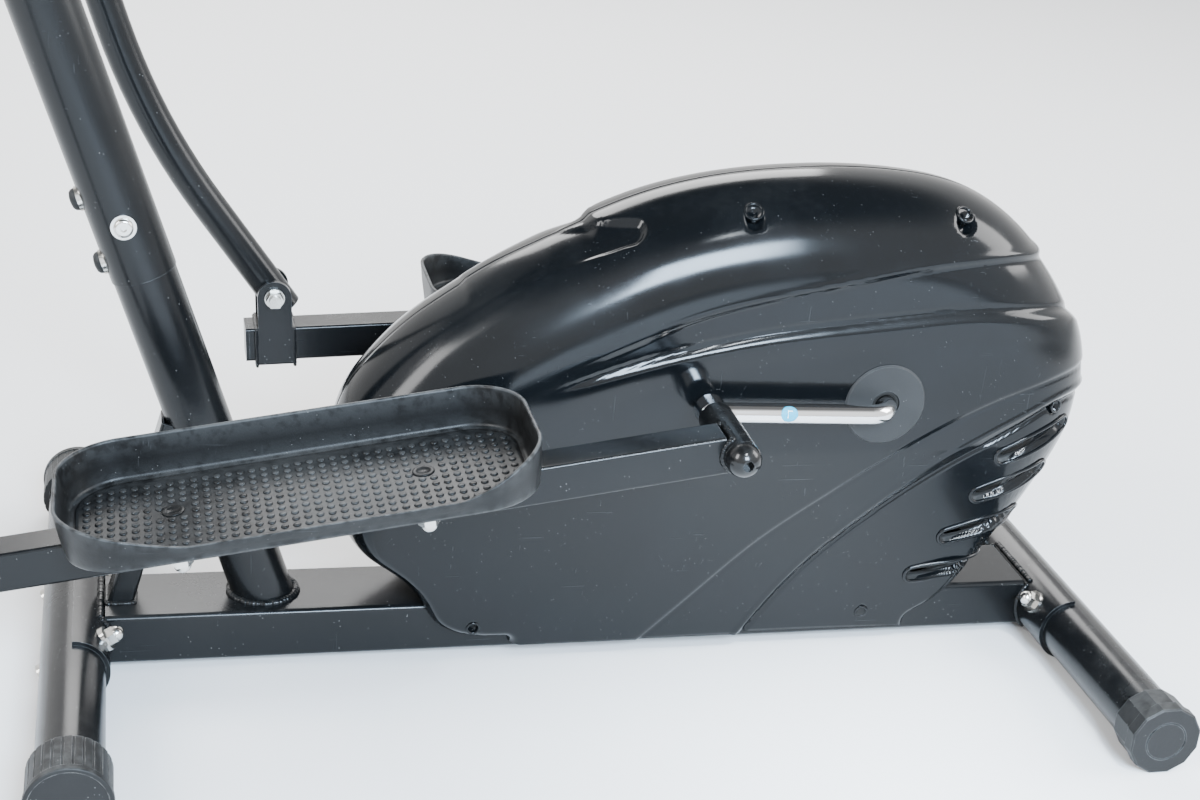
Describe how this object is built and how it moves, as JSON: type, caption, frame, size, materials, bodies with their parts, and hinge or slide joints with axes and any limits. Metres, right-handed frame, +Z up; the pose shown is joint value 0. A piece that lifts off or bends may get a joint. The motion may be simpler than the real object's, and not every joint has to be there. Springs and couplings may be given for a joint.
{
  "type": "elliptical trainer",
  "caption": "Free-standing rear-drive elliptical trainer: enclosed flywheel, linked foot trays on a crank, swing handlebars, fixed bar, console and levelling feet.",
  "frame": {"origin": "on the floor, under the middle of the machine's bounding box", "axes": "+Z up, +X from the upright towards the flywheel housing, +Y towards the machine's right-hand side"},
  "size_m": [1.1222, 0.522, 1.535],
  "materials": {
    "frame_black": "satin black enamel",
    "housing_black": "gloss moulded plastic",
    "tray_black": "matte moulded plastic, ribbed",
    "chrome": "polished",
    "fastener": "bright plated",
    "foam": "foam",
    "cap_black": "moulded plastic",
    "wheel_plastic": "moulded plastic, ribbed",
    "console_plastic": "fine texture",
    "lens": "clear display window",
    "button": "moulded",
    "board": "circuit board",
    "iron": "machined rim",
    "pulley": "glass filled nylon",
    "belt": "ribbed belt",
    "steel": "ground",
    "magnet": "plated magnet",
    "nylon": "nylon bush",
    "cable": "cable sheath"
  },
  "bodies": {
    "frame": {"bottom_bracket": "frame_black", "brake_spring": "steel", "console_back": "console_plastic", "console_board": "board", "console_bracket": "frame_black", "console_front": "console_plastic", "console_lens": "lens", "crank_bearings": "steel", "crank_covers": "cap_black", "drive_belt": "belt", "fixed_grips": "foam", "fixed_handlebar": "frame_black", "flywheel_axle": "steel", "flywheel_bracket": "frame_black", "handlebar_mount": "frame_black", "housing_left": "housing_black", "housing_right": "housing_black", "housing_screws": "fastener", "inner_cables": "cable", "main_beam": "frame_black", "post_fasteners": "fastener", "saddles": "frame_black", "stabiliser_fasteners": "fastener", "stabiliser_tubes": "frame_black", "swing_axle": "fastener", "tension_base": "cap_black", "upright_brace": "frame_black", "upright_post": "frame_black", "upright_stub": "frame_black"},
    "crank": {"crank": "chrome", "drive_pulley": "pulley"},
    "flywheel": {"flywheel": "iron", "flywheel_pulley": "pulley", "flywheel_bearings": "steel"},
    "brake": {"brake_shoe": "frame_black", "brake_magnets": "magnet"},
    "knob": {"tension_knob": "cap_black"},
    "mode_button": {"mode_button": "button"},
    "set_button": {"set_button": "button"},
    "reset_button": {"reset_button": "button"},
    "swing_left": {"swing_link_left": "frame_black", "swing_bushes_left": "nylon", "handlebar_left": "frame_black", "hand_grip_left": "foam"},
    "pedal_left": {"pedal_arm_left": "frame_black", "pedal_pin_left": "cap_black", "foot_tray_left": "tray_black", "pedal_fasteners_left": "fastener"},
    "wheel_left": {"transport_wheel_left": "wheel_plastic"},
    "cap_left": {"level_cap_left": "cap_black"},
    "swing_right": {"swing_link_right": "frame_black", "swing_bushes_right": "nylon", "handlebar_right": "frame_black", "hand_grip_right": "foam"},
    "pedal_right": {"pedal_arm_right": "frame_black", "pedal_pin_right": "cap_black", "foot_tray_right": "tray_black", "pedal_fasteners_right": "fastener"},
    "wheel_right": {"transport_wheel_right": "wheel_plastic"},
    "cap_right": {"level_cap_right": "cap_black"}
  },
  "joints": [
    {"name": "crank_turn", "type": "hinge", "parent": "frame", "child": "crank", "pos_m": [0.3321, 0, 0.2425], "axis": [0, -1, 0], "range_deg": [0, 180]},
    {"name": "flywheel_spin", "type": "hinge", "parent": "frame", "child": "flywheel", "pos_m": [0.0837, 0, 0.205], "axis": [0, -1, 0], "range_deg": [0, 1165.21]},
    {"name": "swing_left", "type": "hinge", "parent": "frame", "child": "swing_left", "pos_m": [-0.3945, 0, 0.7588], "axis": [0, -1, 0], "range_deg": [0, 31.88]},
    {"name": "pedal_left", "type": "hinge", "parent": "swing_left", "child": "pedal_left", "pos_m": [-0.44588, 0, 0.19745], "axis": [0, -1, 0], "range_deg": [-38.01, 0]},
    {"name": "swing_right", "type": "hinge", "parent": "frame", "child": "swing_right", "pos_m": [-0.3945, 0, 0.7588], "axis": [0, -1, 0], "range_deg": [-31.88, 0]},
    {"name": "pedal_right", "type": "hinge", "parent": "swing_right", "child": "pedal_right", "pos_m": [-0.14178, 0, 0.25492], "axis": [0, -1, 0], "range_deg": [0, 38.01]},
    {"name": "knob_turn", "type": "hinge", "parent": "frame", "child": "knob", "pos_m": [-0.42466, 0, 0.94449], "axis": [0.9486, 0, 0.3165], "range_deg": [0, 288]},
    {"name": "brake_swing", "type": "hinge", "parent": "frame", "child": "brake", "pos_m": [-0.0277, 0, 0.12699], "axis": [0, 1, 0], "range_deg": [0, 4.51], "deforming": ["brake_spring"]},
    {"name": "mode_button_press", "type": "slide", "parent": "frame", "child": "mode_button", "axis": [-0.8192, 0, -0.5736], "range_m": [0, 0.002], "stiffness_N_per_m": 400, "springref_m": -0.0015},
    {"name": "set_button_press", "type": "slide", "parent": "frame", "child": "set_button", "axis": [-0.8192, 0, -0.5736], "range_m": [0, 0.002], "stiffness_N_per_m": 400, "springref_m": -0.0015},
    {"name": "reset_button_press", "type": "slide", "parent": "frame", "child": "reset_button", "axis": [-0.8192, 0, -0.5736], "range_m": [0, 0.002], "stiffness_N_per_m": 400, "springref_m": -0.0015},
    {"name": "wheel_left_roll", "type": "hinge", "parent": "frame", "child": "wheel_left", "pos_m": [-0.3083, -0.25, 0.0315], "axis": [0, 1, 0], "continuous": true},
    {"name": "cap_left_turn", "type": "hinge", "parent": "frame", "child": "cap_left", "pos_m": [0.5317, -0.245, 0.0294], "axis": [0, 1, 0], "continuous": true},
    {"name": "wheel_right_roll", "type": "hinge", "parent": "frame", "child": "wheel_right", "pos_m": [-0.3083, 0.25, 0.0315], "axis": [0, 1, 0], "continuous": true},
    {"name": "cap_right_turn", "type": "hinge", "parent": "frame", "child": "cap_right", "pos_m": [0.5317, 0.245, 0.0294], "axis": [0, 1, 0], "continuous": true}
  ],
  "couplings": [
    {"joint": "flywheel_spin", "follows": "crank_turn", "ratio": 6.4706},
    {"joint": "swing_left", "follows": "crank_turn", "ratio": 0.17703},
    {"joint": "swing_right", "follows": "crank_turn", "ratio": -0.17703},
    {"joint": "pedal_left", "follows": "crank_turn", "ratio": -0.21112},
    {"joint": "pedal_right", "follows": "crank_turn", "ratio": 0.21112},
    {"joint": "brake_swing", "follows": "knob_turn", "ratio": 0.015625}
  ]
}
